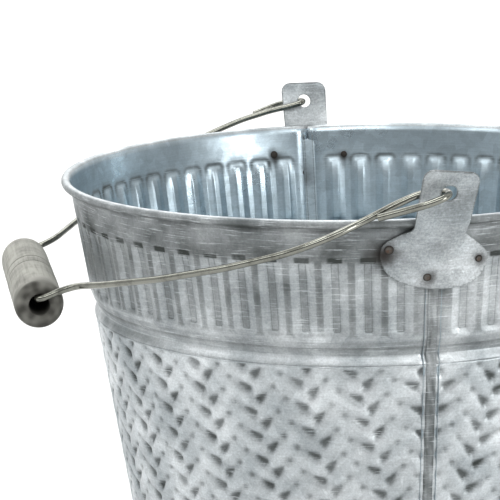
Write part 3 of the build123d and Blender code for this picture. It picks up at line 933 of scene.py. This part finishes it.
def build_stage():
    """Floor, soft light from all round, and the camera."""
    scene = bpy.context.scene
    stage = scene.bucket_stage
    bm = bmesh.new()
    bmesh.ops.create_grid(bm, x_segments=8, y_segments=8, size=9.0)
    mesh = bpy.data.meshes.new("floor")
    bm.to_mesh(mesh)
    bm.free()
    floor = bpy.data.objects.new("floor", mesh)
    scene.collection.objects.link(floor)
    material, _, shader = blank("matt_white_floor")
    shader.inputs["Base Color"].default_value = rgba(stage.floor)
    shader.inputs["Roughness"].default_value = 0.9
    mesh.materials.append(material)

    world = bpy.data.worlds.new("soft_studio")
    world.use_nodes = True
    sky = world.node_tree
    heading = add(sky, "ShaderNodeTexCoord")
    split = add(sky, "ShaderNodeSeparateXYZ", links={"Vector": heading.outputs["Generated"]})
    ramp = add(sky, "ShaderNodeValToRGB", links={"Fac": split.outputs["Z"]})
    # On the camera's side it is dim up to a third of the way, which gives round wire its dark line.
    levels = ((0.0, 0.24), (0.28, 0.26), (0.46, 1.0), (0.7, 1.0), (0.9, 0.6), (1.0, 0.5))
    while len(ramp.color_ramp.elements) < len(levels):
        ramp.color_ramp.elements.new(0.5)
    for element, (place, level) in zip(ramp.color_ramp.elements, levels):
        element.position = place
        element.color = (level, level, level, 1)
    behind = add(sky, "ShaderNodeMapRange", {"From Min": -0.55, "From Max": 0.3},
                 {"Value": split.outputs["Y"]})
    all_round = add(sky, "ShaderNodeMix", {"B": (1.0, 1.0, 1.0, 1.0)},
                    {"Factor": behind.outputs["Result"], "A": ramp.outputs["Color"]}, data_type="RGBA")
    background = sky.nodes["Background"]
    sky.links.new(all_round.outputs["Result"], background.inputs["Color"])
    background.inputs["Strength"].default_value = stage.world
    scene.world = world
    middle = (0, 0, RIM_Z - 0.05)
    area_light("key_softbox", (1.15, -1.25, 0.42), middle, 0.6, 0.9, 5.5)
    area_light("top_strip", (-0.1, 0.1, 1.6), middle, 1.4, 0.35, 5.0)
    area_light("lip_strip", (-0.1, -1.7, 1.35), middle, 1.8, 0.4, 4.0)
    area_light("side_strip", (-1.8, -0.5, 1.35), middle, 1.6, 0.4, 3.0)
    area_light("background_light", (0, 3.4, 2.4), (0, 3.4, 0), 6.0, 4.2, 1.6)
    scene.view_settings.view_transform = "Standard"

    data = bpy.data.cameras.new("camera")
    data.lens = stage.lens
    data.sensor_width = 36.0
    data.clip_start = 0.01
    camera = bpy.data.objects.new("camera", data)
    scene.collection.objects.link(camera)
    camera.matrix_world = Matrix.Translation(CAMERA_PLACE) @ Matrix(CAMERA_AXES).transposed().to_4x4()
    scene.camera = camera


# ---- operators and panel ------------------------------------------------------------------------

class BUCKET_OT_bands(bpy.types.Operator):
    """Build the rolled rim, fluted band and groove of both half shells"""
    bl_idname = "bucket.bands"
    bl_label = "Fluted bands"

    def execute(self, context):
        for side in (1, -1):
            build_band(side)
        return {"FINISHED"}


class BUCKET_OT_fields(bpy.types.Operator):
    """Build the pressed weave and the foot of both half shells"""
    bl_idname = "bucket.fields"
    bl_label = "Woven fields"

    def execute(self, context):
        for side in (1, -1):
            for quarter in ("front", "back"):
                build_field(side, quarter)
        return {"FINISHED"}


class BUCKET_OT_seams(bpy.types.Operator):
    """Build the outer and inner layers of the lock seams"""
    bl_idname = "bucket.seams"
    bl_label = "Lock seams"

    def execute(self, context):
        for where in ("front", "back"):
            build_seam(where, outer=True)
            build_seam(where, outer=False)
        return {"FINISHED"}


class BUCKET_OT_ears(bpy.types.Operator):
    """Build both ears and their spot welds"""
    bl_idname = "bucket.ears"
    bl_label = "Ears and welds"

    def execute(self, context):
        for where in EARS:
            build_ear(where)
            build_welds(where)
        return {"FINISHED"}


class BUCKET_OT_grip(bpy.types.Operator):
    """Build the turned wood grip"""
    bl_idname = "bucket.grip"
    bl_label = "Wood grip"

    def execute(self, context):
        build_grip()
        return {"FINISHED"}


class BUCKET_OT_plain_parts(bpy.types.Operator):
    """Give the bail, the rim wire and the base their finishes"""
    bl_idname = "bucket.plain_parts"
    bl_label = "Wire and base"

    def execute(self, context):
        repaint("bail_wire", wire_finish())
        repaint("rim_wire", wire_finish())
        repaint("base_disc", base_finish())
        return {"FINISHED"}


class BUCKET_OT_stage(bpy.types.Operator):
    """Build the floor, the lights and the camera"""
    bl_idname = "bucket.stage"
    bl_label = "Stage"

    def execute(self, context):
        build_stage()
        return {"FINISHED"}


OPERATORS = (BUCKET_OT_stage, BUCKET_OT_bands, BUCKET_OT_fields, BUCKET_OT_seams, BUCKET_OT_ears,
             BUCKET_OT_grip, BUCKET_OT_plain_parts)


class BUCKET_PT_panel(bpy.types.Panel):
    """Lists the bucket's pieces, sizes and colours"""
    bl_label = "Florist Bucket"
    bl_space_type = "VIEW_3D"
    bl_region_type = "UI"
    bl_category = "Bucket"

    def draw(self, context):
        for operator in OPERATORS:
            self.layout.operator(operator.bl_idname)
        for group in (context.scene.bucket_sizes, context.scene.bucket_colours, context.scene.bucket_stage):
            box = self.layout.box()
            for name in group.__annotations__:
                box.prop(group, name)


CLASSES = (BucketSizes, BucketColours, BucketStage, *OPERATORS, BUCKET_PT_panel)


def register():
    for cls in CLASSES:
        bpy.utils.register_class(cls)
    bpy.types.Scene.bucket_sizes = PointerProperty(type=BucketSizes)
    bpy.types.Scene.bucket_colours = PointerProperty(type=BucketColours)
    bpy.types.Scene.bucket_stage = PointerProperty(type=BucketStage)


def unregister():
    for name in ("bucket_sizes", "bucket_colours", "bucket_stage"):
        delattr(bpy.types.Scene, name)
    for cls in reversed(CLASSES):
        bpy.utils.unregister_class(cls)


def main():
    """Registers the add-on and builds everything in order."""
    register()
    for operator in OPERATORS:
        getattr(bpy.ops.bucket, operator.bl_idname.removeprefix("bucket."))()
    bpy.context.view_layer.update()


if __name__ == "__main__":
    main()
